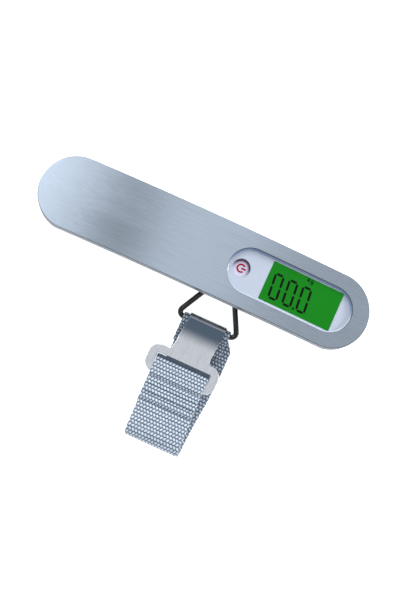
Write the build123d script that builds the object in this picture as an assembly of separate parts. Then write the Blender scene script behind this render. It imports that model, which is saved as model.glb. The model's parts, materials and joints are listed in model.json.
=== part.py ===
from build123d import *
from math import asin, cos, degrees, radians, sin
import os

# A hand-held hanging scale, lying on its back. X runs along the body with the display at +X, +Z points out
# of the display face, and the webbing loop leaves towards -Y. The origin is the middle of the flat back.

# Body
BODY_L = 150.0
BODY_W = 32.0
BODY_H = 22.0            # height of the crest of the bowed face above the flat back
BOW_R = 470.0            # the face is part of a cylinder with its axis along Y
PLATE_T = 0.8
WALL = 1.8
BAND_H = 5.3             # upright band under the plate, before the sides draw in
SEAM_Z = 12.0
SEAM_GAP = 0.15
BACK_W = 22.0            # width of the hull's back before its corners are rounded
END_BAND_Z = 10.5        # the ends are upright above this height
END_DRAFT = 16.9

# Display window
WIN_X, WIN_L, WIN_W = 39.4, 56.6, 20.0
RIM_SLOPE, RIM_DEPTH = 0.75, 1.3
BEZEL_FLANGE = 1.4
FLANGE_T = 0.7
FLOOR_DEPTH = 2.1        # floor of the window below the face
BEZEL_T = 1.2

# Liquid crystal display: a stack square to the face at its own place
LCD_X, LCD_L, LCD_W = 45.0, 32.5, 17.1
LCD_DEPTH = 2.3
GLASS_T = 1.0
GLASS_STEP = 1.5         # the rear glass is larger all round by this much
GUIDE_T = 2.2
BOARD_DEPTH = 8.2
BOARD_T = 1.2
BOARD_L, BOARD_W = 55.0, 20.0
BOARD_X = -6.0           # board's middle from the display's middle

# Power button
BTN_X, BTN_R, BTN_GAP = 17.1, 3.8, 0.15
BTN_TOP = 2.7            # depth of the cap's rim
BTN_DISH = 0.45
BTN_RING_R, BTN_RING_R2 = 4.95, 0.55
PLUNGER_R = 0.9

# Ring that hangs on the load cell's eye
RING_X = 14.0
WIRE_R = 1.15
RING_DROP = 20.0         # from the pivot to the lower bar
RING_TOP_HALF = 3.6
RING_LOW_HALF = 14.1
RING_TOP_BEND = 1.5
RING_LOW_BEND = 2.0
PIVOT_Y, PIVOT_Z = -6.9, 8.0
RING_TILT = 10.0         # the ring slopes down to the strap as it lies
FIT = 0.08
BAR_Y = PIVOT_Y - RING_DROP * cos(radians(RING_TILT))
BAR_Z = PIVOT_Z - RING_DROP * sin(radians(RING_TILT))

# Webbing
WEB_T = 1.0
WEB_W = 24.6
EYE_W = 21.6
EYE_IN = WIRE_R + FIT
EYE_OUT = EYE_IN + WEB_T
REAR_X = 15.2
FOLD_X = 12.7
FRONT_X = 12.0
FRONT_W = 23.8
STRAP_DROP = 55.6        # from the bar's middle to the bottom of the fold
FOLD_R = 4.3             # outside radius of the fold
TABLE_GAP = 0.3
FOLD_Y = BAR_Y - STRAP_DROP + FOLD_R
FOLD_Z = TABLE_GAP + FOLD_R
EYE_TAIL = 10.5          # the eye's sewn tail ends this far below the bar

# Hook buckle
SHEET = 0.8
HOOK_IN = EYE_OUT + 0.15
HOOK_OUT = HOOK_IN + SHEET
BUCKLE_EDGE = 0.25
NECK_TOP_X, NECK_LOW_X = 14.1, 12.7
NECK_W_TOP, NECK_W_LOW = 16.6, 16.8
SHOULDER = 14.9          # distances below the ring's bar
SLOT_TOP = 18.6
CROSSBAR_TOP = 22.6
BUCKLE_END = 27.3
BUCKLE_W = 32.0
SLOT_W = 24.3
BUCKLE_CORNER = 4.6
WAIST_R = 1.8
LOOP_TAIL = 41.0
HOOK_TIP_OVER = 2.0      # the hook's lip stops this far above the bar's middle plane

# Load cell
CELL_X0, CELL_X1 = -40.0, 20.0
CELL_Y0, CELL_Y1 = -1.5, 7.5
CELL_Z0, CELL_Z1 = 4.5, 11.5
CELL_HOLE_R = 3.0
CELL_HOLES = (-16.0, 0.0)
EYE_T = 4.0
EYE_R = 2.9
EYE_SHANK_R = 1.5
CELL_SCREWS = (-35.5, -27.5)

# Coin cell and its bay
COIN_X, COIN_R, COIN_T, COIN_Z = -55.0, 10.0, 3.2, 2.7
DOOR_X0, DOOR_X1 = -66.2, -43.4
DOOR_HALF = 10.9
DOOR_TOP = 2.15
DOOR_GAP = 0.2

SCREWS = ((-41.0, -7.0), (-3.0, -7.4), (69.4, 0.0))
SCREW_HEAD_R, SCREW_HEAD_T, SCREW_R = 2.0, 1.4, 1.05
BOSS_R = 2.3


# ---------------------------------------------------------------- helpers

def save(shape, node):
    os.makedirs("parts", exist_ok=True)
    export_step(shape, f"parts/{node}.step")


def block(x0, x1, y0, y1, z0, z1):
    size = (x1 - x0, y1 - y0, z1 - z0)
    return Pos((x0 + x1) / 2, (y0 + y1) / 2, (z0 + z1) / 2) * Box(*size)


def rod_z(x, y, radius, z0, z1):
    return Pos(x, y, (z0 + z1) / 2) * Cylinder(radius, z1 - z0)


def rod_x(y, z, radius, x0, x1):
    return Pos((x0 + x1) / 2, y, z) * Rot(0, 90, 0) * Cylinder(radius, x1 - x0)


def rod_y(x, z, radius, y0, y1):
    return Pos(x, (y0 + y1) / 2, z) * Rot(90, 0, 0) * Cylinder(radius, y1 - y0)


def bow(depth):
    """Everything under the bowed face, at this depth below it."""
    centre = Pos(0, 0, BODY_H - BOW_R) * Rot(90, 0, 0)
    return centre * Cylinder(BOW_R - depth, 2 * BODY_W)


def on_face(x, depth=0.0):
    """A place on the bowed face, with its own +Z along the face's normal."""
    turn = asin(x / BOW_R)
    reach = BOW_R - depth
    at = (reach * sin(turn), 0, BODY_H - BOW_R + reach * cos(turn))
    return Location(at, (0, degrees(turn), 0))


def stadium(length, width):
    return SlotOverall(length, width)


def stadium_prism(x, length, width, z0, z1):
    return Pos(x, 0, z0) * extrude(stadium(length, width), amount=z1 - z0)


# ---------------------------------------------------------------- body

def hull_ends(inset):
    """Round-ended block whose ends draw in below the band."""
    face = stadium(BODY_L - 2 * inset, BODY_W - 2 * inset)
    upper = Pos(0, 0, END_BAND_Z) * extrude(face, amount=BODY_H)
    depth = END_BAND_Z - inset
    lower = Pos(0, 0, END_BAND_Z) * extrude(face, amount=-depth, taper=END_DRAFT)
    lower = fillet(lower.edges().group_by(Axis.Z)[0], 2.6 - 0.5 * inset)
    return upper + lower


def hull_section(inset):
    top = BODY_H - PLATE_T
    half = BODY_W / 2
    low = BODY_H - PLATE_T - BAND_H
    corners = [(-half, top), (half, top), (half, low), (BACK_W / 2, 0), (-BACK_W / 2, 0), (-half, low)]
    flat = make_face(Polyline(*corners, close=True))
    rounded = fillet(flat.vertices().sort_by(Axis.Y)[:2], 3.0)
    rounded = fillet(rounded.vertices().filter_by(lambda v: abs(v.Y - low) < 0.01), 6.0)
    if inset:
        rounded = offset(rounded, amount=-inset, kind=Kind.INTERSECTION)
    return Plane.YZ * rounded


def hull(inset):
    """Outside of the plastic hull, drawn in by inset all round."""
    axis = Axis((0, 0, BODY_H - BOW_R), (0, 1, 0))
    half_turn = degrees(asin(0.56 * BODY_L / BOW_R))
    section = hull_section(inset).rotate(axis, -half_turn)
    bar = revolve(section, axis, revolution_arc=2 * half_turn)
    return bar & hull_ends(inset)



def ring_slot():
    half = RING_TOP_HALF + (RING_LOW_HALF - RING_TOP_HALF) * 0.47 + WIRE_R + 1.2
    hole = Box(2 * half, 12, 8.4)
    hole = fillet(hole.edges().filter_by(Axis.Y), 3.0)
    return Pos(RING_X, -BODY_W / 2, PIVOT_Z + 0.2) * hole


def screw_boss(x, y, z0, z1):
    return rod_z(x, y, BOSS_R, z0, z1)


def front_plate():
    blank = stadium_prism(0, BODY_L, BODY_W, 0, 2 * BODY_H)
    window = stadium_prism(WIN_X, WIN_L, WIN_W, 0, 2 * BODY_H)
    plate = (bow(0) - bow(PLATE_T)) & (blank - window)
    top = plate.faces().sort_by(SortBy.AREA)[-1]
    return fillet(top.edges(), 0.3)


def upper_housing(outer, middle, inner):
    shell = outer - inner
    shell &= Pos(0, 0, SEAM_Z + BODY_H) * Box(2 * BODY_L, 2 * BODY_W, 2 * BODY_H)
    window = stadium_prism(WIN_X, WIN_L + 0.4, WIN_W + 0.4, 0, 2 * BODY_H)
    grow = 2 * BEZEL_FLANGE + 0.3
    flange = stadium_prism(WIN_X, WIN_L + grow, WIN_W + grow, 0, 2 * BODY_H)
    flange -= bow(PLATE_T + FLANGE_T)
    rebate = middle & block(-BODY_L, BODY_L, -BODY_W, BODY_W, 0, SEAM_Z + 1.3)
    bosses = [screw_boss(x, y, SEAM_Z - 1.0, 2 * BODY_H) & outer for x, y in SCREWS]
    bores = [rod_z(x, y, SCREW_R, 0, SEAM_Z + 2.8) for x, y in SCREWS]
    return shell + bosses - window - flange - rebate - ring_slot() - bores


def rear_housing(outer, middle, inner):
    shell = outer - inner
    shell &= block(-BODY_L, BODY_L, -BODY_W, BODY_W, -1, SEAM_Z - SEAM_GAP)
    lip = (middle - inner) & block(-BODY_L, BODY_L, -BODY_W, BODY_W, SEAM_Z - 1, SEAM_Z + 1.1)
    bosses = [screw_boss(x, y, 0.5, SEAM_Z - 1.0 - SEAM_GAP) & outer for x, y in SCREWS]
    cell_feet = [block(x - 3.4, x + 3.4, CELL_Y0, CELL_Y1, 1.0, CELL_Z0) for x in CELL_SCREWS]
    heads = [rod_z(x, y, SCREW_HEAD_R + 0.25, -1, SCREW_HEAD_T + 0.8) for x, y in SCREWS]
    bores = [rod_z(x, y, SCREW_R + 0.25, 0, SEAM_Z) for x, y in SCREWS]
    cell_bores = [rod_z(x, 3.0, 1.5, 2.2, CELL_Z0) for x in CELL_SCREWS]
    bay = block(DOOR_X0, DOOR_X1, -DOOR_HALF, DOOR_HALF, -1, DOOR_TOP + DOOR_GAP)
    solid = shell + lip + bosses + cell_feet
    return solid - heads - bores - cell_bores - bay - ring_slot()


def battery_door(outer):
    gap = DOOR_GAP
    panel = outer & block(DOOR_X0 + gap, DOOR_X1 - gap, -DOOR_HALF + gap, DOOR_HALF - gap, 0.08, DOOR_TOP)
    for step in range(3):
        x = DOOR_X0 + 4.0 + 1.8 * step
        panel -= block(x, x + 0.8, -5, 5, 0, 0.45)
    return panel


# ---------------------------------------------------------------- display

def display_frame():
    return on_face(LCD_X)


def bezel():
    window = stadium_prism(WIN_X, WIN_L, WIN_W, 0, 2 * BODY_H)
    flange = stadium_prism(WIN_X, WIN_L + 2 * BEZEL_FLANGE, WIN_W + 2 * BEZEL_FLANGE, 0, 2 * BODY_H)
    solid = window & (bow(PLATE_T) - bow(FLOOR_DEPTH + BEZEL_T))
    solid += flange & (bow(PLATE_T) - bow(PLATE_T + FLANGE_T))
    inset = 2 * RIM_SLOPE
    pocket = stadium_prism(WIN_X, WIN_L - inset, WIN_W - inset, 0, 2 * BODY_H) - bow(FLOOR_DEPTH)
    solid -= pocket
    rim = [e for e in solid.edges() if rim_edge(e)]
    solid = chamfer(rim, RIM_DEPTH - 0.15, RIM_SLOPE - 0.1)
    return solid


def rim_edge(edge):
    """True for the pocket's upper edges, level with the underside of the plate."""
    point = edge @ 0.5
    reach = ((point.X) ** 2 + (point.Z - BODY_H + BOW_R) ** 2) ** 0.5
    at_top = abs(reach - (BOW_R - PLATE_T)) < 0.02
    inside = stadium_distance(point.X - WIN_X, point.Y, WIN_L, WIN_W) < -0.5 * RIM_SLOPE
    return at_top and inside


def stadium_distance(x, y, length, width):
    straight = (length - width) / 2
    over = max(abs(x) - straight, 0)
    return (over * over + y * y) ** 0.5 - width / 2


def button_place(depth=0.0):
    return on_face(BTN_X, depth)


def display_bezel():
    solid = bezel()
    aperture = Box(LCD_L + 0.3, LCD_W + 0.3, 12)
    room = 2 * GLASS_STEP + 0.4
    under = Pos(0, 0, -3 - LCD_DEPTH - GLASS_T + 0.02) * Box(LCD_L + room, LCD_W + room, 6)
    solid -= display_frame() * aperture
    solid -= display_frame() * under
    ring = button_place(FLOOR_DEPTH) * Torus(BTN_RING_R, BTN_RING_R2)
    ring = ring & button_place(FLOOR_DEPTH - 2) * Box(20, 20, 2 * (2 + 0.4))
    solid += ring
    hole = Cylinder(BTN_R + BTN_GAP, 12)
    solid -= button_place(FLOOR_DEPTH) * hole
    return solid.solids().sort_by(SortBy.VOLUME)[-1]


def lcd_front_glass():
    return display_frame() * Pos(0, 0, -LCD_DEPTH - GLASS_T / 2) * Box(LCD_L, LCD_W, GLASS_T)


def lcd_layer(grow, top, thick):
    """One layer of the display stack: its margin outside the picture, its top's depth and its thickness."""
    return display_frame() * Pos(0, 0, -top - thick / 2) * Box(LCD_L + 2 * grow, LCD_W + 2 * grow, thick)


GLASS_LOW = LCD_DEPTH + 2 * GLASS_T


def lcd_holder():
    depth = BOARD_DEPTH - GLASS_LOW
    middle = -GLASS_LOW - depth / 2
    holder = Pos(-1.0, 0, middle) * Box(LCD_L + 4.6, LCD_W + 3.2, depth)
    holder -= Pos(0, -1.0, -GLASS_LOW - GUIDE_T / 2) * Box(LCD_L, LCD_W - 2.0, GUIDE_T + 0.2)
    holder -= Pos(0, -1.0, middle) * Box(LCD_L - 3, LCD_W - 5.0, depth + 2)
    holder -= Pos(0, LCD_W / 2 - 0.4, middle) * Box(LCD_L - 1, 1.7, depth + 2)
    return display_frame() * holder


def light_guide():
    return display_frame() * Pos(0, -1.0, -GLASS_LOW - GUIDE_T / 2) * Box(LCD_L - 0.3, LCD_W - 2.4, GUIDE_T)


def contact_strip():
    depth = BOARD_DEPTH - GLASS_LOW
    return display_frame() * Pos(0, LCD_W / 2 - 0.4, -GLASS_LOW - depth / 2) * Box(LCD_L - 1.4, 1.3, depth)


def backlight_leds():
    z = -GLASS_LOW - GUIDE_T - 0.7
    return [display_frame() * Pos(x, -1.0, z) * Box(2.2, 3.2, 1.2) for x in (-8.0, 8.0)]


def board_place(x, y, z=0.0):
    return display_frame() * Pos(BOARD_X + x, y, -BOARD_DEPTH + z)


def main_board():
    board = board_place(0, 0, -BOARD_T / 2) * Box(BOARD_L, BOARD_W, BOARD_T)
    board = fillet(board.edges().filter_by(display_frame().z_axis), 2.0)
    return board


def main_chip():
    return board_place(4, 0, -BOARD_T - 0.6) * Cylinder(4.2, 1.2)


def amplifier_chip():
    body = board_place(-12, 3, -BOARD_T - 0.7) * Box(5.0, 4.0, 1.3)
    pins = [board_place(-12 + 1.27 * step, 3 + side * 2.5, -BOARD_T - 0.2) * Box(0.4, 1.0, 0.4)
            for step in (-1.5, -0.5, 0.5, 1.5) for side in (-1, 1)]
    return body + pins


def capacitors():
    spots = ((-18, -4), (-14, -4), (12, 5), (15, 5), (18, 5), (12, -5))
    return [board_place(x, y, -BOARD_T - 0.4) * Box(1.6, 0.8, 0.8) for x, y in spots]


def crystal():
    can = board_place(-4, -6, -BOARD_T - 1.0) * Rot(0, 90, 0) * Cylinder(1.0, 6.0)
    return can


# ---------------------------------------------------------------- power button

def power_button():
    depth = BTN_TOP
    length = 1.5
    cap = button_place(depth + length / 2) * Cylinder(BTN_R, length)
    dish_r = (BTN_R ** 2 + BTN_DISH ** 2) / (2 * BTN_DISH)
    cap -= button_place(depth - dish_r + BTN_DISH) * Sphere(dish_r)
    skirt = button_place(FLOOR_DEPTH + BEZEL_T + 0.35) * Cylinder(BTN_R + 0.7, 0.6)
    return cap + skirt


def switch_local():
    """The tactile switch stands on the board under the button."""
    return BTN_X - LCD_X - BOARD_X


def tact_switch():
    x = switch_local()
    case = board_place(x, 0, 1.0) * Box(6.0, 6.0, 2.0)
    well = board_place(x, 0, 1.6) * Cylinder(PLUNGER_R + 0.15, 3.0)
    return case - well


def switch_plunger():
    return board_place(switch_local(), 0, 1.95) * Cylinder(PLUNGER_R, 1.9)


# ---------------------------------------------------------------- load cell

def load_cell():
    beam = block(CELL_X0, CELL_X1, CELL_Y0, CELL_Y1, CELL_Z0, CELL_Z1)
    mid = (CELL_Y0 + CELL_Y1) / 2
    for x in CELL_HOLES:
        beam -= rod_z(x, mid, CELL_HOLE_R, 0, 20)
    beam -= block(CELL_HOLES[0], CELL_HOLES[1], mid - 0.9, mid + 0.9, 0, 20)
    for x in CELL_SCREWS:
        beam -= rod_z(x, mid, 1.6, 0, 20)
    return beam - rod_y(RING_X, PIVOT_Z, EYE_SHANK_R + 0.05, -10, 20)


def strain_gauges():
    return [block(x - 2.5, x + 2.5, *side, 5.4, 10.6)
            for x in CELL_HOLES for side in ((CELL_Y0 - 0.35, CELL_Y0), (CELL_Y1, CELL_Y1 + 0.35))]


def cell_screws():
    mid = (CELL_Y0 + CELL_Y1) / 2
    made = []
    for x in CELL_SCREWS:
        head = rod_z(x, mid, 2.7, CELL_Z1, CELL_Z1 + 1.8)
        head -= block(x - 3, x + 3, mid - 0.3, mid + 0.3, CELL_Z1 + 1.0, CELL_Z1 + 3)
        made.append(head + rod_z(x, mid, 1.45, 2.5, CELL_Z1))
    return made


def cell_eye():
    eye = rod_x(PIVOT_Y, PIVOT_Z, EYE_R, RING_X - EYE_T / 2, RING_X + EYE_T / 2)
    eye = fillet(eye.edges(), 0.5)
    tang = block(RING_X - EYE_T / 2, RING_X + EYE_T / 2, PIVOT_Y + 1.5, CELL_Y0, PIVOT_Z - 2, PIVOT_Z + 2)
    shank = rod_y(RING_X, PIVOT_Z, EYE_SHANK_R, CELL_Y0 - 0.5, CELL_Y1 + 2.9)
    bore = rod_x(PIVOT_Y, PIVOT_Z, WIRE_R + FIT, RING_X - EYE_T, RING_X + EYE_T)
    return eye + tang + shank - bore


def eye_nut():
    blank = extrude(RegularPolygon(2.9, 6), amount=2.2)
    nut = Pos(RING_X, CELL_Y1, PIVOT_Z) * Rot(-90, 0, 0) * blank
    return nut - rod_y(RING_X, PIVOT_Z, EYE_SHANK_R, -10, 20)


# ---------------------------------------------------------------- power supply

def coin_cell():
    can = rod_z(COIN_X, 0, COIN_R, COIN_Z, COIN_Z + COIN_T)
    return fillet(can.edges().sort_by(Axis.Z)[-1], 0.5)


def contact_plus():
    """Strip over the coin cell, held by the housing's end."""
    top = COIN_Z + COIN_T
    strip = block(-61.0, -49.0, -2.2, 2.2, top + 0.1, top + 0.5)
    tab = block(-49.4, -49.0, -2.2, 2.2, top + 0.5, top + 3.5)
    return strip + tab


def contact_minus():
    z0 = COIN_Z
    blade = block(-44.6, -44.2, 3.0, 7.0, z0, z0 + 6.0)
    foot = block(-44.2, -42.9, 3.0, 7.0, z0, z0 + 0.4)
    return blade + foot


def lead(points, radius=0.45, bend=2.2):
    """Insulated wire along straight runs joined by arcs."""
    path = FilletPolyline(*points, radius=bend)
    start = Plane(origin=path @ 0, z_dir=path % 0)
    return sweep(start * Circle(radius), path=path)


def battery_lead(side):
    """Wire from a battery contact to the board, over the load cell."""
    y = 2.0 + 1.4 * side
    return lead([(-48.4, 1.2 * side, 9.0), (-43.0, y, 14.3), (-6.0, y, 15.6), (10.6, y, 14.3)])


# ---------------------------------------------------------------- fasteners

def housing_screws():
    made = []
    for x, y in SCREWS:
        z0 = 0.8
        head = rod_z(x, y, SCREW_HEAD_R, z0, z0 + SCREW_HEAD_T)
        cross = block(x - 1.2, x + 1.2, y - 0.3, y + 0.3, 0, z0 + 0.8)
        cross += block(x - 0.3, x + 0.3, y - 1.2, y + 1.2, 0, z0 + 0.8)
        made.append(head - cross + rod_z(x, y, SCREW_R, z0 + SCREW_HEAD_T, SEAM_Z + 2.2))
    return made


# ---------------------------------------------------------------- ring

def ring():
    top, low = PIVOT_Y, PIVOT_Y - RING_DROP
    corners = [(RING_X - 0.06, top), (RING_X - RING_TOP_HALF, top), (RING_X - RING_LOW_HALF, low),
               (RING_X + RING_LOW_HALF, low), (RING_X + RING_TOP_HALF, top), (RING_X + 0.06, top)]
    path = FilletPolyline(*[(x, y, PIVOT_Z) for x, y in corners],
                          radius=[RING_TOP_BEND, RING_LOW_BEND, RING_LOW_BEND, RING_TOP_BEND])
    wire = sweep(Plane(origin=path @ 0, z_dir=path % 0) * Circle(WIRE_R), path=path)
    return wire.rotate(Axis((0, PIVOT_Y, PIVOT_Z), (1, 0, 0)), RING_TILT)


# ---------------------------------------------------------------- webbing and buckle

def side_profile(points):
    """Closed outline in the YZ plane."""
    return Plane.YZ * make_face(Polyline(*points, close=True))


def across(face, x, width):
    return Pos(x - width / 2, 0, 0) * extrude(face, amount=width, dir=(1, 0, 0))


def ply(y0, z0, y1, z1, thick):
    """A straight ply of webbing between two points of its middle line."""
    run = Vector(0, y1 - y0, z1 - z0).normalized()
    off = Vector(0, -run.Z, run.Y) * (thick / 2)
    a, b = (y0, z0), (y1, z1)
    return side_profile([(a[0] + off.Y, a[1] + off.Z), (b[0] + off.Y, b[1] + off.Z),
                         (b[0] - off.Y, b[1] - off.Z), (a[0] - off.Y, a[1] - off.Z)])


def below(distance):
    return BAR_Y - distance


def strap_rear():
    """Eye on the ring's bar, its sewn tail, the rear ply and the fold."""
    eye = rod_x(BAR_Y, BAR_Z, EYE_OUT, RING_X - EYE_W / 2, RING_X + EYE_W / 2)
    mean = (EYE_OUT + EYE_IN) / 2
    rear = across(ply(BAR_Y, BAR_Z - mean, FOLD_Y, TABLE_GAP + WEB_T / 2, WEB_T), REAR_X, WEB_W)
    rear -= block(-50, RING_X - EYE_W / 2, below(3), 0, -5, 20)
    rear -= block(RING_X + EYE_W / 2, 50, below(3), 0, -5, 20)
    tail = across(ply(BAR_Y, BAR_Z + mean, below(4.5), BAR_Z - 0.5, WEB_T), RING_X, EYE_W)
    tail_end = ply(below(4.2), BAR_Z - 0.62, below(EYE_TAIL), BAR_Z - 1.12, WEB_T)
    tail_end = across(tail_end, RING_X, WEB_W)
    bend = rod_x(FOLD_Y, FOLD_Z, FOLD_R, FOLD_X - WEB_W / 2, FOLD_X + WEB_W / 2)
    bend -= rod_x(FOLD_Y, FOLD_Z, FOLD_R - WEB_T, -50, 50)
    bend -= block(-50, 50, FOLD_Y, FOLD_Y + 20, -5, 20)
    bore = rod_x(BAR_Y, BAR_Z, EYE_IN, -50, 50)
    return eye + rear + tail + tail_end + bend - bore


BUCKLE_BACK = BAR_Z + HOOK_IN
BUCKLE_FACE = BUCKLE_BACK + SHEET


def strap_front():
    """Front ply, wrapped round the buckle's crossbar and sewn to itself."""
    gap = 0.1
    front_z = BUCKLE_FACE + gap + WEB_T / 2
    back_z = BUCKLE_BACK - gap - WEB_T / 2
    top = below(SLOT_TOP + 0.4 + WEB_T / 2)
    low = below(BUCKLE_END + 0.3)
    upright = FOLD_Z + FOLD_R - WEB_T / 2
    front = across(ply(top, front_z, low, front_z, WEB_T), FRONT_X, FRONT_W)
    slope = across(ply(low, front_z, FOLD_Y + 0.02, upright, WEB_T), FRONT_X, FRONT_W)
    over = block(FRONT_X - FRONT_W / 2, FRONT_X + FRONT_W / 2, top - WEB_T / 2, top + WEB_T / 2,
                 back_z - WEB_T / 2, front_z + WEB_T / 2)
    back = across(ply(top, back_z, low, back_z, WEB_T), FRONT_X, FRONT_W)
    knee = across(ply(low, back_z, below(31), front_z - WEB_T - 0.05, WEB_T), FRONT_X, FRONT_W)
    end = ply(below(31), front_z - WEB_T - 0.05, below(LOOP_TAIL), front_z - WEB_T, WEB_T)
    end = across(end, FRONT_X, FRONT_W)
    return front + slope + over + back + knee + end


def at_waist(point):
    """True for the two inner corners where the neck meets the slotted plate."""
    return abs(point.Y + SHOULDER) < 0.01 and abs(point.X - NECK_LOW_X) < NECK_W_LOW / 2 + 0.5


def buckle_outline():
    """Flat blank of the buckle, drawn with the ring's bar on y = 0."""
    plate = RectangleRounded(BUCKLE_W, BUCKLE_END - SHOULDER, BUCKLE_CORNER)
    plate = Pos(FRONT_X, -(SHOULDER + BUCKLE_END) / 2) * plate
    left_top, right_top = NECK_TOP_X - NECK_W_TOP / 2, NECK_TOP_X + NECK_W_TOP / 2
    left_low, right_low = NECK_LOW_X - NECK_W_LOW / 2, NECK_LOW_X + NECK_W_LOW / 2
    low = -SHOULDER - 1
    neck = make_face(Polyline((left_top, 0), (right_top, 0), (right_low, low), (left_low, low), close=True))
    blank = plate + neck
    waist = [v for v in blank.vertices() if at_waist(v)]
    blank = fillet(waist, WAIST_R)
    slot_mid = -(SLOT_TOP + CROSSBAR_TOP) / 2
    slot = Pos(FRONT_X, slot_mid) * RectangleRounded(SLOT_W, CROSSBAR_TOP - SLOT_TOP, 0.6)
    return blank - slot


def hook_buckle():
    blank = extrude(buckle_outline(), amount=SHEET)
    rims = blank.faces().sort_by(Axis.Z)[-1].edges()
    blank = fillet([e for e in rims if (e @ 0.5).Y < -1], BUCKLE_EDGE)
    flat = Pos(0, BAR_Y, BUCKLE_BACK) * blank
    roll = rod_x(BAR_Y, BAR_Z, HOOK_OUT, NECK_TOP_X - NECK_W_TOP / 2, NECK_TOP_X + NECK_W_TOP / 2)
    roll -= rod_x(BAR_Y, BAR_Z, HOOK_IN, -50, 50)
    roll -= block(-50, 50, BAR_Y - 10, BAR_Y, -20, 20)
    roll -= block(-50, 50, BAR_Y - 10, BAR_Y + HOOK_TIP_OVER, -20, BAR_Z)
    return flat + roll


def build():
    outer, middle, inner = hull(0), hull(WALL / 2), hull(WALL)
    save(front_plate(), "front_plate")
    save(upper_housing(outer, middle, inner), "upper_housing")
    save(rear_housing(outer, middle, inner), "rear_housing")
    save(battery_door(outer), "battery_door")
    save(display_bezel(), "display_bezel")
    save(lcd_front_glass(), "lcd_front_glass")
    save(lcd_layer(GLASS_STEP, LCD_DEPTH + GLASS_T, GLASS_T), "lcd_rear_glass")
    save(lcd_holder(), "lcd_holder")
    save(light_guide(), "light_guide")
    save(contact_strip(), "contact_strip")
    save(Compound(backlight_leds()), "backlight_leds")
    save(main_board(), "main_board")
    save(main_chip(), "main_chip")
    save(amplifier_chip(), "amplifier_chip")
    save(Compound(capacitors()), "capacitors")
    save(crystal(), "crystal")
    save(power_button(), "power_button")
    save(tact_switch(), "tact_switch")
    save(switch_plunger(), "switch_plunger")
    save(load_cell(), "load_cell")
    save(Compound(strain_gauges()), "strain_gauges")
    save(Compound(cell_screws()), "load_cell_screws")
    save(cell_eye(), "load_cell_eye")
    save(eye_nut(), "eye_nut")
    save(coin_cell(), "coin_cell")
    save(contact_plus(), "contact_plus")
    save(contact_minus(), "contact_minus")
    save(battery_lead(1), "red_lead")
    save(battery_lead(-1), "black_lead")
    save(Compound(housing_screws()), "housing_screws")
    save(ring(), "ring")
    save(strap_rear(), "strap_rear")
    save(strap_front(), "strap_front")
    save(hook_buckle(), "hook_buckle")


build()
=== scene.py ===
import json
import math

import bmesh
import bpy
from mathutils import Matrix, Vector


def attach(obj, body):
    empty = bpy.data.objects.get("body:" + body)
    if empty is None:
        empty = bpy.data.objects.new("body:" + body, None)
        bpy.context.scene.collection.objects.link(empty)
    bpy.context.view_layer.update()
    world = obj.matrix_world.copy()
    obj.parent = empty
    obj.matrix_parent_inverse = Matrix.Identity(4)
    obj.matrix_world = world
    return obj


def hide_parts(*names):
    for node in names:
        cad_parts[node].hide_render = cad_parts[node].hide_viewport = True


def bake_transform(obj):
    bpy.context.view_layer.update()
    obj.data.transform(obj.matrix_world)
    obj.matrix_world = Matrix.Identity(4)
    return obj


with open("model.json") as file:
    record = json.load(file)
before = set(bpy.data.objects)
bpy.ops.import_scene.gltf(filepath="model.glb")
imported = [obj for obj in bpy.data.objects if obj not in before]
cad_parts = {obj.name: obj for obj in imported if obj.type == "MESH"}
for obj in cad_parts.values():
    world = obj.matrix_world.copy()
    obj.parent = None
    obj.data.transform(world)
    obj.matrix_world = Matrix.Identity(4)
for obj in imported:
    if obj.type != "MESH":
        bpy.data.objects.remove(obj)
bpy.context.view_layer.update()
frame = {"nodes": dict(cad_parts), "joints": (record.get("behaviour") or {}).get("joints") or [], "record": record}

MM = 0.001
NODES = frame["nodes"]
JOINTS = {joint["name"]: joint for joint in frame["joints"]}

# The bowed face is part of a cylinder about Y, whose crest is over the middle of the body.
BOW_R = 470 * MM
CREST_Z = 22 * MM
LCD_X, LCD_DEPTH = 45 * MM, 2.3 * MM
BUTTON_X, BUTTON_DEPTH = 17.1 * MM, 2.7 * MM
BUTTON_R, BUTTON_DISH = 3.8 * MM, 0.45 * MM
BODY_STRAIGHT, BODY_R = 59 * MM, 16 * MM
WINDOW_X, WINDOW_STRAIGHT, WINDOW_R = 39.4 * MM, 18.3 * MM, 10.0 * MM

# Webbing: its thickness, its width as woven, in the ring's eye and in the buckle, and its weave
WEB_T = 1.0 * MM
WEB_W, EYE_W, FRONT_W = 24.2 * MM, 21.6 * MM, 24.0 * MM
YARN = 1.45 * MM         # one dash of the weave across the webbing
PICK = 1.5 * MM          # one row of dashes along it
MESH_PER_DASH = 5.5
RELIEF, SEWN_IN = 0.13 * MM, 0.25 * MM
WEB_SHADE = 0.66

# The strap hangs from the ring's bar to the fold, where the front ply comes back up over it.
# Drops are measured down from the bar.
BAR = Vector(JOINTS["strap_swing"]["pos_m"])
EYE_R, EYE_RUN = 1.73 * MM, 9.0 * MM
FOLD_R, FOLD_DROP, TABLE_GAP = 4.3 * MM, 55.6 * MM, 0.3 * MM
FOLD_TURN = FOLD_R - WEB_T / 2
FOLD_X, FRONT_X = 13.3 * MM, 12.0 * MM
PLY_OFFSET = 0.6 * MM    # the two plies lie this far to each side of the fold's middle
FOLD_Y = BAR.y - FOLD_DROP + FOLD_R
FOLD_Z = TABLE_GAP + FOLD_R
FOLD_TOP = FOLD_Z + FOLD_TURN

# Buckle
BUCKLE_FACE = BAR.z + 3.18 * MM
BUCKLE_BACK = BAR.z + 2.38 * MM
SLOT_DROP, BUCKLE_DROP = 18.6 * MM, 27.3 * MM
TAIL_DROPS = (31 * MM, 41 * MM)
STITCH_DROPS = (28.6 * MM, 32.4 * MM, 35.8 * MM, 39.2 * MM)
STITCH, STITCH_GAP, THREAD_T = 1.9 * MM, 0.35 * MM, 0.32 * MM

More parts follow.
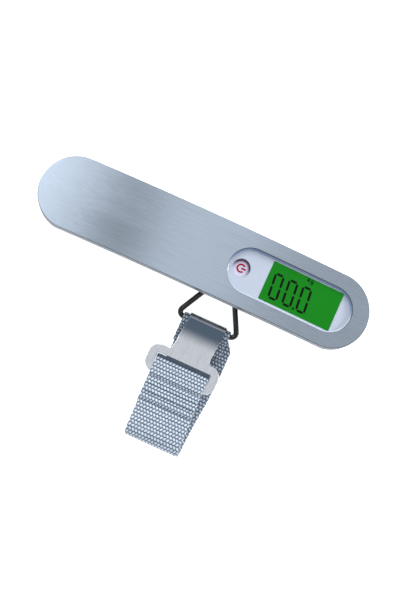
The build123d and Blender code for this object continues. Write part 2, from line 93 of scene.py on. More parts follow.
# Camera
CAMERA_TARGET = Vector((7.16 * MM, -18.77 * MM, 13.4 * MM))
CAMERA_ELEVATION, CAMERA_ROLL = math.radians(82), math.radians(24.5)
CAMERA_DISTANCE = 700 * MM

# The tent's strength, then its lighter and darker patches: direction, the angles from it where the
# patch starts and where it's full, and the amount.
TENT = 0.74
LOBES = (
    ((-0.44, 0.15, 0.88), 12, 9.5, 0.20),
    ((-0.222, 0.14, 0.965), 6.0, 3.5, -0.55),
    ((0.38, 0.06, 0.92), 22, 8, -0.30),
    ((-0.20, 0.95, 0.30), 34, 24, 1.6),
    ((-0.60, 0.28, 0.75), 7, 4, 14.0),
    ((0.83, 0.35, 0.43), 9, 6, 22.0),
)


# ---------------------------------------------------------------- helpers

def face_place(x, depth=0.0):
    """Matrix of a place on the bowed face, with its own +Z along the face's normal."""
    turn = math.asin(x / BOW_R)
    reach = BOW_R - depth
    at = Vector((reach * math.sin(turn), 0, CREST_Z - BOW_R + reach * math.cos(turn)))
    return Matrix.Translation(at) @ Matrix.Rotation(turn, 4, "Y")


def piece(name, bm, material, smooth=True):
    """Turns a bmesh into a piece of the object."""
    bmesh.ops.recalc_face_normals(bm, faces=bm.faces)
    mesh = bpy.data.meshes.new(name)
    for face in bm.faces:
        face.smooth = smooth
    bm.to_mesh(mesh)
    bm.free()
    mesh.materials.append(material)
    made = bpy.data.objects.new(name, mesh)
    bpy.context.scene.collection.objects.link(made)
    return made


# ---------------------------------------------------------------- materials

def new_group(name, inputs, outputs):
    """An empty shader node group with named sockets; returns it with its two end nodes."""
    group = bpy.data.node_groups.new(name, "ShaderNodeTree")
    for label, kind, value in inputs:
        socket = group.interface.new_socket(name=label, in_out="INPUT", socket_type=kind)
        socket.default_value = value
    for label, kind in outputs:
        group.interface.new_socket(name=label, in_out="OUTPUT", socket_type=kind)
    return group, group.nodes.new("NodeGroupInput"), group.nodes.new("NodeGroupOutput")


def brushed_lines():
    """Fine lines along one axis of a surface: a mask and a height."""
    group, give, take = new_group(
        "brushed lines",
        [("Vector", "NodeSocketVector", (0, 0, 0)), ("Fine", "NodeSocketFloat", 900.0),
         ("Stretch", "NodeSocketVector", (0.03, 1, 1))],
        [("Lines", "NodeSocketFloat"), ("Clouds", "NodeSocketFloat")],
    )
    link = group.links.new
    squeeze = group.nodes.new("ShaderNodeVectorMath")
    squeeze.operation = "MULTIPLY"
    link(give.outputs["Vector"], squeeze.inputs[0])
    link(give.outputs["Stretch"], squeeze.inputs[1])
    lines = group.nodes.new("ShaderNodeTexNoise")
    lines.inputs["Detail"].default_value = 3.0
    link(squeeze.outputs[0], lines.inputs["Vector"])
    link(give.outputs["Fine"], lines.inputs["Scale"])
    clouds = group.nodes.new("ShaderNodeTexNoise")
    clouds.inputs["Scale"].default_value = 60.0
    link(squeeze.outputs[0], clouds.inputs["Vector"])
    link(lines.outputs["Fac"], take.inputs["Lines"])
    link(clouds.outputs["Fac"], take.inputs["Clouds"])
    return group


def fine_texture():
    """Moulded or plated surface: a little speckle and slow change of tone."""
    group, give, take = new_group(
        "fine texture",
        [("Vector", "NodeSocketVector", (0, 0, 0)), ("Grain", "NodeSocketFloat", 2500.0),
         ("Patches", "NodeSocketFloat", 60.0)],
        [("Grain", "NodeSocketFloat"), ("Patches", "NodeSocketFloat")],
    )
    link = group.links.new
    for label in ("Grain", "Patches"):
        noise = group.nodes.new("ShaderNodeTexNoise")
        noise.inputs["Detail"].default_value = 2.0
        link(give.outputs["Vector"], noise.inputs["Vector"])
        link(give.outputs[label], noise.inputs["Scale"])
        link(noise.outputs["Fac"], take.inputs[label])
    return group


BRUSHED = brushed_lines()
TEXTURE = fine_texture()


def new_material(name, **sockets):
    """A material with its Principled shader's own sockets set."""
    made = bpy.data.materials.new(name)
    made.use_nodes = True
    shader = made.node_tree.nodes["Principled BSDF"]
    for label, value in sockets.items():
        shader.inputs[label.replace("_", " ")].default_value = value
    return made, made.node_tree, shader


def add_group(tree, group, source="Object", **values):
    node = tree.nodes.new("ShaderNodeGroup")
    node.node_tree = group
    place = tree.nodes.new("ShaderNodeTexCoord")
    tree.links.new(place.outputs[source], node.inputs["Vector"])
    for label, value in values.items():
        node.inputs[label].default_value = value
    return node


def spread(tree, source, low, high, target):
    """Maps a mask from 0..1 to low..high and feeds it to a socket."""
    scale = tree.nodes.new("ShaderNodeMapRange")
    scale.inputs["From Min"].default_value = 0.3
    scale.inputs["From Max"].default_value = 0.7
    scale.inputs["To Min"].default_value = low
    scale.inputs["To Max"].default_value = high
    tree.links.new(source, scale.inputs["Value"])
    tree.links.new(scale.outputs["Result"], target)


def tint(tree, source, dark, light, target):
    ramp = tree.nodes.new("ShaderNodeValToRGB")
    ramp.color_ramp.elements[0].position = 0.3
    ramp.color_ramp.elements[0].color = (*dark, 1)
    ramp.color_ramp.elements[1].position = 0.7
    ramp.color_ramp.elements[1].color = (*light, 1)
    tree.links.new(source, ramp.inputs["Fac"])
    tree.links.new(ramp.outputs["Color"], target)


def bump(tree, source, shader, depth, strength=1.0):
    node = tree.nodes.new("ShaderNodeBump")
    node.inputs["Distance"].default_value = depth
    node.inputs["Strength"].default_value = strength
    tree.links.new(source, node.inputs["Height"])
    tree.links.new(node.outputs["Normal"], shader.inputs["Normal"])


def brushed_steel(name, dark, light, rough, stretch, fine=900.0, depth=0.004 * MM):
    made, tree, shader = new_material(name, Metallic=1.0)
    lines = add_group(tree, BRUSHED, Fine=fine, Stretch=stretch)
    tint(tree, lines.outputs["Lines"], dark, light, shader.inputs["Base Color"])
    spread(tree, lines.outputs["Clouds"], rough[0], rough[1], shader.inputs["Roughness"])
    bump(tree, lines.outputs["Lines"], shader, depth)
    return made


def moulded(name, dark, light, rough, grain=2500.0, depth=0.01 * MM, **sockets):
    made, tree, shader = new_material(name, **sockets)
    texture = add_group(tree, TEXTURE, Grain=grain)
    tint(tree, texture.outputs["Patches"], dark, light, shader.inputs["Base Color"])
    spread(tree, texture.outputs["Grain"], rough[0], rough[1], shader.inputs["Roughness"])
    bump(tree, texture.outputs["Grain"], shader, depth)
    return made


def buckle_finish():
    """Satin sheet, with a painted dark reflection where it rolls over the bar, easing back to its own light tone
    towards the slot.
    """
    made = brushed_steel("satin buckle", (0.80, 0.80, 0.83), (0.88, 0.88, 0.90), (0.2, 0.28),
                         (1, 0.2, 1), 1500.0, 0.002 * MM)
    tree = made.node_tree
    place = split_object_place(tree).outputs["Y"]
    painted_dark_reflection = calc(tree, "MULTIPLY", ease(tree, place, BAR.y - 10.5 * MM, BAR.y - 3.5 * MM),
                  ease(tree, place, BAR.y + 0.9 * MM, BAR.y + 0.3 * MM))
    # Painted dark reflection on the neck and the roll over the bar, left off at the roll's crest.
    lay_over(made, painted_dark_reflection, (0.13, 0.17, 0.22))
    return made


def split_object_place(tree):
    place = tree.nodes.new("ShaderNodeTexCoord")
    split = tree.nodes.new("ShaderNodeSeparateXYZ")
    tree.links.new(place.outputs["Object"], split.inputs["Vector"])
    return split


def calc(tree, operation, first, second=None):
    node = tree.nodes.new("ShaderNodeMath")
    node.operation = operation
    for socket, value in zip(node.inputs, (first, second)):
        if isinstance(value, bpy.types.NodeSocket):
            tree.links.new(value, socket)
        elif value is not None:
            socket.default_value = value
    return node.outputs[0]


def ease(tree, value, start, end):
    node = tree.nodes.new("ShaderNodeMapRange")
    node.interpolation_type = "SMOOTHSTEP"
    node.inputs["From Min"].default_value = start
    node.inputs["From Max"].default_value = end
    tree.links.new(value, node.inputs["Value"])
    return node.outputs["Result"]


def lay_over(made, mask, colour):
    """Another colour over a material's own, where a mask is 1."""
    tree = made.node_tree
    target = tree.nodes["Principled BSDF"].inputs["Base Color"]
    mix = tree.nodes.new("ShaderNodeMix")
    mix.data_type = "RGBA"
    mix.inputs["B"].default_value = (*colour, 1)
    tree.links.new(mask, mix.inputs["Factor"])
    tree.links.new(target.links[0].from_socket, mix.inputs["A"])
    tree.links.new(mix.outputs["Result"], target)


def reach_from(tree, x, y):
    """Length of the side x, y."""
    squares = calc(tree, "ADD", calc(tree, "POWER", x, 2.0), calc(tree, "POWER", y, 2.0))
    return calc(tree, "SQRT", squares)


def stadium_reach(tree, split, middle, straight):
    """How far a place is from the middle line of a stadium that runs along X."""
    out = calc(tree, "ABSOLUTE", calc(tree, "SUBTRACT", split.outputs["X"], middle))
    out = calc(tree, "MAXIMUM", calc(tree, "SUBTRACT", out, straight), 0.0)
    return reach_from(tree, out, split.outputs["Y"])


def bezel_finish():
    """Pearl plastic, with painted blue shade on the far side of the step down from the face plate."""
    made = moulded("pearl plastic", (0.51, 0.55, 0.64), (0.54, 0.58, 0.67), (0.25, 0.35), depth=0.003 * MM)
    tree = made.node_tree
    split = split_object_place(tree)
    reach = stadium_reach(tree, split, WINDOW_X, WINDOW_STRAIGHT)
    far = ease(tree, split.outputs["Y"], -2 * MM, 6 * MM)
    step = calc(tree, "MULTIPLY", ease(tree, reach, WINDOW_R - 1.0 * MM, WINDOW_R - 0.75 * MM), far)
    # Painted shade: blue band on the far side of the step.
    lay_over(made, step, (0.24, 0.33, 0.52))
    lay_over(made, ease(tree, reach, WINDOW_R - 0.4 * MM, WINDOW_R - 0.2 * MM), (0.10, 0.12, 0.16))
    return made


def plate_finish():
    """Brushed metal, with painted shade down its near side wall."""
    made = brushed_steel("brushed plate", (0.60, 0.67, 0.77), (0.67, 0.74, 0.84), (0.18, 0.24),
                         (0.02, 1, 1), 2600.0)
    tree = made.node_tree
    split = split_object_place(tree)
    reach = stadium_reach(tree, split, 0.0, BODY_STRAIGHT)
    near = ease(tree, split.outputs["Y"], 3 * MM, -3 * MM)
    side = calc(tree, "MULTIPLY", ease(tree, reach, BODY_R - 0.35 * MM, BODY_R - 0.1 * MM), near)
    # Painted shade down the near side wall; the far edge keeps its highlight.
    lay_over(made, side, (0.12, 0.14, 0.18))
    return made


def button_finish():
    """Lilac plastic, with painted shade at the far rim of the dish."""
    made = moulded("button plastic", (0.55, 0.52, 0.64), (0.62, 0.58, 0.70), (0.25, 0.35), depth=0.003 * MM)
    tree = made.node_tree
    split = split_object_place(tree)
    out = calc(tree, "SUBTRACT", split.outputs["X"], BUTTON_X)
    reach = reach_from(tree, out, split.outputs["Y"])
    side = calc(tree, "ADD", split.outputs["Y"], calc(tree, "MULTIPLY", out, 0.25))
    rim = calc(tree, "MULTIPLY", ease(tree, reach, BUTTON_R - 1.7 * MM, BUTTON_R - 0.4 * MM),
               ease(tree, side, -2.5 * MM, 2.0 * MM))
    # Painted shade: a dark crescent on the far rim of the dish.
    lay_over(made, rim, (0.10, 0.03, 0.09))
    return made


def plated(name, dark, light, rough):
    return moulded(name, dark, light, rough, grain=500.0, depth=0.002 * MM, Metallic=1.0)


def lit_glass():
    """The display's lit face: strong green under gloss."""
    made, tree, shader = new_material("lit green", Roughness=0.12, Emission_Strength=0.85,
                                      Specular_IOR_Level=0.25)
    patches = add_group(tree, TEXTURE, Grain=300.0, Patches=35.0).outputs["Patches"]
    tint(tree, patches, (0.002, 0.07, 0.003), (0.002, 0.08, 0.003), shader.inputs["Base Color"])
    tint(tree, patches, (0.004, 0.165, 0.006), (0.005, 0.18, 0.007), shader.inputs["Emission Color"])
    return made


def woven(name, dark, light):
    """Coarse webbing, with painted shade: light on the yarns' crowns and dark between them."""
    made, tree, shader = new_material(name, Sheen_Weight=0.25, Sheen_Roughness=0.4)
    relief = tree.nodes.new("ShaderNodeAttribute")
    relief.attribute_name = "crown_and_painted_shade"
    ramp = tree.nodes.new("ShaderNodeValToRGB")
    ramp.color_ramp.elements[0].position = 0.10
    ramp.color_ramp.elements[0].color = (*dark, 1)
    ramp.color_ramp.elements[1].position = 0.50
    ramp.color_ramp.elements[1].color = (*light, 1)
    tree.links.new(relief.outputs["Fac"], ramp.inputs["Fac"])
    fibres = add_group(tree, TEXTURE, Grain=3200.0, Patches=700.0)
    shade = tree.nodes.new("ShaderNodeMix")
    shade.data_type = "RGBA"
    shade.blend_type = "MULTIPLY"
    shade.inputs["Factor"].default_value = 0.75
    tone = tree.nodes.new("ShaderNodeValToRGB")
    tone.color_ramp.elements[0].position = 0.3
    tone.color_ramp.elements[0].color = (0.65, 0.69, 0.74, 1)
    tone.color_ramp.elements[1].position = 0.62
    tone.color_ramp.elements[1].color = (1, 1, 1, 1)
    tree.links.new(fibres.outputs["Patches"], tone.inputs["Fac"])
    tree.links.new(ramp.outputs["Color"], shade.inputs["A"])
    tree.links.new(tone.outputs["Color"], shade.inputs["B"])
    tree.links.new(shade.outputs["Result"], shader.inputs["Base Color"])
    spread(tree, fibres.outputs["Grain"], 0.45, 0.75, shader.inputs["Roughness"])
    bump(tree, fibres.outputs["Grain"], shader, 0.06 * MM)
    return made


MATERIALS = {
    "brushed_plate": plate_finish(),
    "buckle_steel": buckle_finish(),
    "housing_plastic": moulded("silver plastic", (0.10, 0.12, 0.15), (0.13, 0.15, 0.18), (0.35, 0.5)),
    "bezel_plastic": bezel_finish(),
    "button_plastic": button_finish(),
    "lcd_green": lit_glass(),
    "ring_nickel": plated("dark nickel", (0.035, 0.035, 0.034), (0.05, 0.05, 0.048), (0.16, 0.22)),
    "screw_steel": plated("zinc plate", (0.55, 0.56, 0.58), (0.66, 0.67, 0.68), (0.25, 0.4)),
    "eye_steel": plated("plated eye", (0.5, 0.5, 0.52), (0.6, 0.6, 0.62), (0.25, 0.35)),
    "battery_steel": plated("battery can", (0.66, 0.66, 0.64), (0.74, 0.74, 0.72), (0.18, 0.28)),
    "contact_brass": plated("contact strip", (0.72, 0.58, 0.30), (0.80, 0.66, 0.36), (0.25, 0.35)),
    "tin_can": plated("crystal can", (0.66, 0.66, 0.67), (0.74, 0.74, 0.75), (0.2, 0.3)),
    "cell_aluminium": brushed_steel("milled aluminium", (0.62, 0.63, 0.65), (0.74, 0.75, 0.77), (0.3, 0.42),
                                    (0.1, 1, 1)),
    "clear_glass": moulded("rear glass", (0.45, 0.50, 0.46), (0.5, 0.55, 0.5), (0.06, 0.1), depth=0.0),
    "white_plastic": moulded("white plastic", (0.72, 0.73, 0.72), (0.78, 0.79, 0.78), (0.4, 0.5)),
    "clear_plastic": moulded("light guide", (0.62, 0.72, 0.62), (0.7, 0.8, 0.7), (0.1, 0.2)),
    "elastomer": moulded("contact rubber", (0.52, 0.5, 0.46), (0.62, 0.6, 0.56), (0.6, 0.7)),
    "led_plastic": moulded("lamp plastic", (0.8, 0.8, 0.5), (0.86, 0.86, 0.6), (0.2, 0.3)),
    "board": moulded("board lacquer", (0.01, 0.11, 0.035), (0.015, 0.15, 0.05), (0.25, 0.35)),
    "chip_resin": moulded("chip resin", (0.012, 0.012, 0.012), (0.02, 0.02, 0.02), (0.4, 0.55)),
    "ceramic": moulded("capacitor body", (0.42, 0.31, 0.19), (0.5, 0.38, 0.24), (0.4, 0.5)),
    "switch_plastic": moulded("switch case", (0.02, 0.02, 0.02), (0.03, 0.03, 0.03), (0.35, 0.5)),
    "gauge_film": moulded("gauge film", (0.62, 0.30, 0.08), (0.7, 0.36, 0.1), (0.3, 0.4)),
    "red_insulation": moulded("red wire", (0.4, 0.01, 0.01), (0.5, 0.015, 0.015), (0.35, 0.45)),
    "black_insulation": moulded("black wire", (0.01, 0.01, 0.01), (0.015, 0.015, 0.015), (0.35, 0.45)),
    "webbing": woven("webbing", (0.03, 0.05, 0.08), (0.76, 0.83, 0.93)),
}
INK = moulded("display ink", (0.001, 0.003, 0.001), (0.002, 0.004, 0.002), (0.5, 0.6), depth=0.0,
              Specular_IOR_Level=0.1)
RED = moulded("red print", (0.34, 0.0, 0.018), (0.40, 0.0, 0.022), (0.5, 0.6), depth=0.0,
              Specular_IOR_Level=0.2)
THREAD = moulded("stitch thread", (0.06, 0.08, 0.12), (0.10, 0.13, 0.18), (0.5, 0.7))


def finish_nodes():
    """Gives every part that comes from the frame its own finish."""
    slots = {entry["node"]: entry["material_slot"] for entry in frame["record"]["subparts"]}
    for name, part in NODES.items():
        part.data.materials.clear()
        part.data.materials.append(MATERIALS[slots[name]])


# ---------------------------------------------------------------- display

def bar_segment(bm, start, end, width, slant):
    """One pointed bar of a digit, between two points on the glass."""
    along = (Vector(end) - Vector(start)).normalized()
    side = Vector((-along.y, along.x)) * (width / 2)
    inset = along * (width / 2)
    outline = [Vector(start), Vector(start) + inset + side, Vector(end) - inset + side,
               Vector(end), Vector(end) - inset - side, Vector(start) + inset - side]
    verts = [bm.verts.new((p.x + slant * p.y, p.y, 0)) for p in outline]
    return bm.faces.new(verts)


def zero_digit(bm, x, y, wide, high, width, slant):
    """The six bars of a 0, with a small gap at every corner."""
    gap = 0.22 * MM
    mid = high / 2
    corners = [Vector((x + right, y + up)) for right, up in
               ((0, 0), (wide, 0), (wide, mid), (wide, high), (0, high), (0, mid))]
    for first, last in zip(corners, corners[1:] + corners[:1]):
        step = (last - first).normalized() * gap
        bar_segment(bm, first + step, last - step, width, slant)


def raise_faces(bm, height):
    """Thickens flat faces upwards."""
    made = bmesh.ops.extrude_face_region(bm, geom=bm.faces[:])
    verts = [g for g in made["geom"] if isinstance(g, bmesh.types.BMVert)]
    bmesh.ops.translate(bm, verts=verts, vec=(0, 0, height))


def display_digits():
    bm = bmesh.new()
    high, wide, pitch, slant = 10.4 * MM, 3.6 * MM, 6.45 * MM, -0.09
    left, low = -13.2 * MM, -6.3 * MM
    for place in range(3):
        zero_digit(bm, left + place * pitch, low, wide, high, 0.98 * MM, slant)
    dot_x = left + pitch + wide + 1.45 * MM
    half = 0.42 * MM
    corners = [(dot_x + right * half, low + up * half) for right, up in ((-1, -1), (1, -1), (1, 1), (-1, 1))]
    bm.faces.new([bm.verts.new((x + slant * y, y, 0)) for x, y in corners])
    unit_letters(bm, left + 2 * pitch + 0.15 * MM, low + high + 2.6 * MM)
    raise_faces(bm, 0.05 * MM)
    place = face_place(LCD_X) @ Matrix.Translation((0, 0, -LCD_DEPTH))
    bmesh.ops.transform(bm, matrix=place, verts=bm.verts)
    made = piece("display_digits", bm, INK, smooth=False)
    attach(made, "scale_body")


def unit_letters(bm, x, y):
    """The small kg sign over the last digit; the strokes are in millimetres."""
    strokes = [((0, 0), (0, 1.7)), ((0.2, 0.7), (0.85, 1.3)), ((0.2, 0.7), (0.95, 0.0)),
               ((1.45, 0.15), (1.45, 1.15)), ((1.45, 1.2), (2.3, 1.2)), ((2.35, 1.15), (2.35, -0.5)),
               ((1.45, 0.1), (2.3, 0.1)), ((1.5, -0.55), (2.3, -0.55))]
    corner = Vector((x, y))
    for first, last in strokes:
        bar_segment(bm, corner + Vector(first) * MM, corner + Vector(last) * MM, 0.38 * MM, 0.0)


def power_sign():
    """Ring with a gap and a bar, printed in the dish of the button, turned towards the display."""
    bm = bmesh.new()
    radius, stroke, gap = 1.62 * MM, 0.72 * MM, math.radians(40)
    ends = [bm.verts.new((r * math.cos(gap), r * math.sin(gap), 0))
            for r in (radius - stroke / 2, radius + stroke / 2)]
    bmesh.ops.spin(bm, geom=[*ends, bm.edges.new(ends)], cent=(0, 0, 0), axis=(0, 0, 1),
                   angle=2 * math.pi - 2 * gap, steps=40)
    bar = bmesh.ops.create_grid(bm, x_segments=8, y_segments=1, size=0.5)
    bmesh.ops.scale(bm, vec=(2.0 * MM, stroke, 1), verts=bar["verts"])
    bmesh.ops.translate(bm, vec=(1.15 * MM, 0, 0), verts=bar["verts"])
    dish_r = (BUTTON_R ** 2 + BUTTON_DISH ** 2) / (2 * BUTTON_DISH)
    for vert in bm.verts:
        out = vert.co.x ** 2 + vert.co.y ** 2
        vert.co.z = dish_r - math.sqrt(dish_r ** 2 - out) - BUTTON_DISH - 0.01 * MM
    raise_faces(bm, 0.06 * MM)
    bmesh.ops.transform(bm, matrix=face_place(BUTTON_X, BUTTON_DEPTH), verts=bm.verts)
    made = piece("power_sign", bm, RED)
    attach(made, "button")


# ---------------------------------------------------------------- webbing

class Path:
    """A line in the YZ plane through corners (y, z, radius), with arcs at the corners."""

    def __init__(self, corners, step=0.15 * MM):
        points = [Vector(corners[0][:2])]
        for before, here, after in zip(corners, corners[1:], corners[2:]):
            points += self.rounded(Vector(before[:2]), Vector(here[:2]), Vector(after[:2]), here[2])
        points.append(Vector(corners[-1][:2]))
        self.points, self.at_length = [points[0]], [0.0]
        for point in points[1:]:
            start, run = self.points[-1], (point - self.points[-1]).length
            cuts = max(1, round(run / step))
            for cut in range(1, cuts + 1):
                self.points.append(start.lerp(point, cut / cuts))
                self.at_length.append(self.at_length[-1] + run / cuts)
        self.length = self.at_length[-1]

    @staticmethod
    def rounded(before, here, after, radius):
        """Points round the arc that takes off a corner."""
        back, on = (before - here).normalized(), (after - here).normalized()
        half = back.angle(on) / 2
        cut = radius / math.tan(half)
        centre = here + (back + on).normalized() * (radius / math.sin(half))
        first, last = here + back * cut - centre, here + on * cut - centre
        sweep = first.angle_signed(last)
        count = max(2, round(abs(sweep) / math.radians(6)))
        turned = []
        for index in range(count + 1):
            turn = -sweep * index / count
            turned.append(centre + Matrix.Rotation(turn, 2) @ first)
        return turned

    def place(self, s):
        """The point and the normal at a distance along the line."""
        low, high = 0, len(self.points) - 1
        while high - low > 1:
            mid = (low + high) // 2
            if self.at_length[mid] <= s:
                low = mid
            else:
                high = mid
        share = (s - self.at_length[low]) / max(1e-12, self.at_length[high] - self.at_length[low])
        run = (self.points[high] - self.points[low]).normalized()
        return self.points[low].lerp(self.points[high], share), Vector((-run.y, run.x))


def weave_height(across, along):
    """Height of the yarns' crowns, 0 to 1: rows of short dashes, each half a dash from the last."""
    row = math.floor(along / PICK)
    place = along / PICK - row
    slant = 0.35 * (place - 0.5) * (1 if row % 2 else -1)
    dash = 0.5 + 0.5 * math.cos(2 * math.pi * (across / YARN + 0.5 * (row % 2) + slant))
    return math.sin(math.pi * place) ** 0.7 * (0.25 + 0.75 * dash ** 0.8)


def smooth_step(value, start, end):
    share = min(1.0, max(0.0, (value - start) / (end - start)))
    return share * share * (3 - 2 * share)


def distance_below(drop):
    return BAR.y - drop


def tone_with_painted_shade(y):
    """The webbing's tone at a y, with painted shade: darker inside the slot and round the ring's bar, where it's
    in shade.
    """
    # Painted shade inside the buckle's slot and round the ring's bar.
    in_slot = smooth_step(y, distance_below(21.2 * MM), distance_below(19.5 * MM))
    at_eye = smooth_step(y, distance_below(17 * MM), distance_below(14 * MM))
    return WEB_SHADE * (1 - 0.95 * in_slot * (1 - at_eye) - 0.30 * at_eye)


def webbing_strip(name, path, width, middle, along0=0.0, rows=()):
    """A strip of webbing along a path: width(s) and middle(s) give its width and its middle's x."""
    bm = bmesh.new()
    columns = round(MESH_PER_DASH * WEB_W / YARN)
    lengths = round(MESH_PER_DASH * path.length / PICK)
    bmesh.ops.create_grid(bm, x_segments=columns, y_segments=lengths, size=0.5)
    crown_and_painted_shade = bm.verts.layers.float.new("crown_and_painted_shade")
    twin = bmesh.ops.duplicate(bm, geom=bm.verts[:] + bm.edges[:] + bm.faces[:])
    lower = {g for g in twin["geom"] if isinstance(g, bmesh.types.BMVert)}
    for vert in bm.verts:
        u, s = vert.co.x, (vert.co.y + 0.5) * path.length
        at, normal = path.place(s)
        across, along, side = (u + 1) * WEB_W, along0 + s, 1
        if vert in lower:
            across, along, side = across + YARN / 2, along + PICK, -1
        high = weave_height(across, along)
        selvedge = min(1.0, (0.5 - abs(u)) / 0.035)
        thick = WEB_T / 2 * math.sqrt(max(0.0, selvedge * (2 - selvedge)))
        sewn = sum(math.exp(-((s - row) / (0.25 * MM)) ** 2) for row in rows)
        lift = thick - (RELIEF * (1 - high) + SEWN_IN * sewn) * selvedge
        # Painted shade: darker between the yarns, along the stitch rows, inside the buckle's slot and round the
        # ring's bar.
        vert[crown_and_painted_shade] = high * (1 - 0.6 * min(1, sewn)) * tone_with_painted_shade(at.x)
        vert.co = Vector((middle(s) + u * width(s), *(at + normal * (side * lift))))
    bmesh.ops.remove_doubles(bm, verts=[v for v in bm.verts if v.is_boundary], dist=0.02 * MM)
    bmesh.ops.holes_fill(bm, edges=[e for e in bm.edges if e.is_boundary], sides=0)
    return piece(name, bm, MATERIALS["webbing"])


def rear_path():
    """From the eye's sewn tail, over the ring's bar, down the rear ply and round the fold."""
    r, turn = EYE_R, FOLD_TURN
    low = TABLE_GAP + WEB_T / 2
    return Path([
        (distance_below(10.5 * MM), BAR.z - 0.95 * MM, 0),
        (distance_below(4.6 * MM), BAR.z - 0.5 * MM, 2.0 * MM),
        (distance_below(1.9 * MM), BAR.z + r, 1.2 * MM),
        (BAR.y + r, BAR.z + r, r * 0.99),
        (BAR.y + r, BAR.z - r, r * 0.99),
        (FOLD_Y, low, 40 * MM),
        (FOLD_Y - turn, low, turn * 0.99),
        (FOLD_Y - turn, FOLD_TOP, turn * 0.99),
        (FOLD_Y + 0.02 * MM, FOLD_TOP, 0),
    ])


def rear_webbing():
    path = rear_path()
    straight = path.length - math.pi * FOLD_TURN

    def widened(s):
        return smooth_step(s, EYE_RUN * 1.9, EYE_RUN * 2.6)

    def width(s):
        return EYE_W + (WEB_W - EYE_W) * widened(s)

    def middle(s):
        if s < straight:
            bulge = 2.0 * MM * widened(s) * (1 - smooth_step(s, EYE_RUN * 4, straight))
            return BAR.x + bulge + (FOLD_X + PLY_OFFSET - BAR.x) * smooth_step(s, EYE_RUN, straight)
        return FOLD_X + PLY_OFFSET * (1 - 2 * smooth_step(s, straight, path.length))

    made = webbing_strip("rear_webbing", path, width, middle)
    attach(made, "strap")
    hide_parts("strap_rear")
    return path.length


def front_path():
    """From the fold up over the ply, through the buckle's slot and back down under itself."""
    gap = 0.1 * MM
    face = BUCKLE_FACE + gap + WEB_T / 2
    back = BUCKLE_BACK - gap - WEB_T / 2
    tail = face - WEB_T - 0.02 * MM
    top = distance_below(SLOT_DROP + 0.15 * MM + WEB_T / 2)
    low = distance_below(BUCKLE_DROP + 0.3 * MM)
    return Path([
        (FOLD_Y + 0.02 * MM, FOLD_TOP, 0),
        (low, face, 20 * MM),
        (top, face, 0.85 * MM),
        (top, back, 0.85 * MM),
        (low, back, 3 * MM),
        (distance_below(TAIL_DROPS[0]), tail, 4 * MM),
        (distance_below(TAIL_DROPS[1]), tail, 0),
    ])


def front_webbing(along0):
    path = front_path()
    run = distance_below(BUCKLE_DROP) - FOLD_Y
    rows = [distance_below(drop) - FOLD_Y for drop in STITCH_DROPS]

    def width(s):
        return WEB_W + (FRONT_W - WEB_W) * smooth_step(s, 4 * MM, run)

    def middle(s):
        return FOLD_X - PLY_OFFSET + (FRONT_X - FOLD_X + PLY_OFFSET) * smooth_step(s, 0, run)

    made = webbing_strip("front_webbing", path, width, middle, along0, rows)
    bend_with_hook(made)
    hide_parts("strap_front")
    stitch_rows(path, rows, width, middle)


def bend_with_hook(made):
    """Bakes the piece's placement into its mesh."""
    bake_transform(made)


def stitch_rows(path, rows, width, middle):
    """Rows of lock stitches across the front ply."""
    bm = bmesh.new()
    pitch = STITCH + STITCH_GAP
    for row in rows:
        at, normal = path.place(row)
        spot = at + normal * (WEB_T / 2 - THREAD_T / 2)
        count = int((width(row) - 2.5 * MM) / pitch)
        first = middle(row) - (count - 1) * pitch / 2
        for index in range(count):
            made = bmesh.ops.create_uvsphere(bm, u_segments=8, v_segments=6, radius=0.5)
            bmesh.ops.scale(bm, vec=(STITCH, THREAD_T, THREAD_T), verts=made["verts"])
            bmesh.ops.translate(bm, vec=(first + index * pitch, *spot), verts=made["verts"])
    made = piece("webbing_stitches", bm, THREAD)
    bend_with_hook(made)


# ---------------------------------------------------------------- stage, light and camera

def stage_floor():
    bm = bmesh.new()
    bmesh.ops.create_grid(bm, x_segments=1, y_segments=1, size=3.0)
    mesh = bpy.data.meshes.new("floor")
    bm.to_mesh(mesh)
    bm.free()
    made = bpy.data.objects.new("floor", mesh)
    made.location.z = -0.3 * MM
    bpy.context.scene.collection.objects.link(made)
    finish, tree, shader = new_material("floor", Roughness=1.0, Emission_Strength=0.8)
    shader.inputs["Base Color"].default_value = (0.9, 0.9, 0.9, 1)
    shader.inputs["Emission Color"].default_value = (1, 1, 1, 1)
    shader.inputs["Specular IOR Level"].default_value = 0.0
    mesh.materials.append(finish)


def soft_box(name, at, size, power):
    """A square lamp aimed at the origin."""
    light = bpy.data.lights.new(name, "AREA")
    light.size = size
    light.energy = power
    made = bpy.data.objects.new(name, light)
    made.location = at
    made.rotation_mode = "QUATERNION"
    made.rotation_quaternion = Vector(at).to_track_quat("Z", "Y")
    bpy.context.scene.collection.objects.link(made)


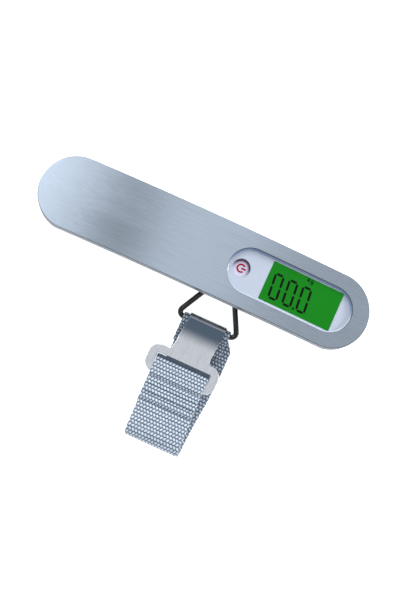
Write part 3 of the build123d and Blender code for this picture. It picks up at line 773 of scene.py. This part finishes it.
def world_light():
    """An even tent of light with lighter and darker patches in it."""
    world = bpy.data.worlds.new("studio")
    bpy.context.scene.world = world
    world.use_nodes = True
    tree = world.node_tree
    place = tree.nodes.new("ShaderNodeTexCoord")
    total = None
    for direction, start, end, amount in LOBES:
        dot = tree.nodes.new("ShaderNodeVectorMath")
        dot.operation = "DOT_PRODUCT"
        dot.inputs[1].default_value = Vector(direction).normalized()
        tree.links.new(place.outputs["Generated"], dot.inputs[0])
        lobe = tree.nodes.new("ShaderNodeMapRange")
        lobe.interpolation_type = "SMOOTHSTEP"
        lobe.inputs["From Min"].default_value = math.cos(math.radians(start))
        lobe.inputs["From Max"].default_value = math.cos(math.radians(end))
        lobe.inputs["To Max"].default_value = amount
        tree.links.new(dot.outputs["Value"], lobe.inputs["Value"])
        add = tree.nodes.new("ShaderNodeMath")
        add.inputs[1].default_value = TENT
        if total:
            tree.links.new(total.outputs[0], add.inputs[1])
        tree.links.new(lobe.outputs["Result"], add.inputs[0])
        total = add
    back = tree.nodes["Background"]
    back.inputs["Color"].default_value = (0.90, 0.95, 1.0, 1)
    tree.links.new(total.outputs[0], back.inputs["Strength"])


def studio():
    world_light()
    soft_box("key", (-0.3, 0.75, 0.6), 0.3, 2.5)


def camera():
    """Looks steeply down on the face from the strap's side, with the display end turned down."""
    elevation, roll = CAMERA_ELEVATION, CAMERA_ROLL
    look = Vector((0, math.cos(elevation), -math.sin(elevation)))
    right, up = Vector((1, 0, 0)), Vector((0, math.sin(elevation), math.cos(elevation)))
    turned_right = right * math.cos(roll) + up * math.sin(roll)
    turned_up = up * math.cos(roll) - right * math.sin(roll)
    lens = bpy.data.cameras.new("camera")
    lens.lens = 100
    lens.sensor_width = 36
    made = bpy.data.objects.new("camera", lens)
    turn = Matrix((turned_right, turned_up, -look)).transposed()
    made.matrix_world = Matrix.Translation(CAMERA_TARGET - look * CAMERA_DISTANCE) @ turn.to_4x4()
    bpy.context.scene.collection.objects.link(made)
    bpy.context.scene.camera = made
    bpy.context.scene.view_settings.view_transform = "Standard"


camera()
studio()
stage_floor()
finish_nodes()
display_digits()
power_sign()
front_webbing(rear_webbing())
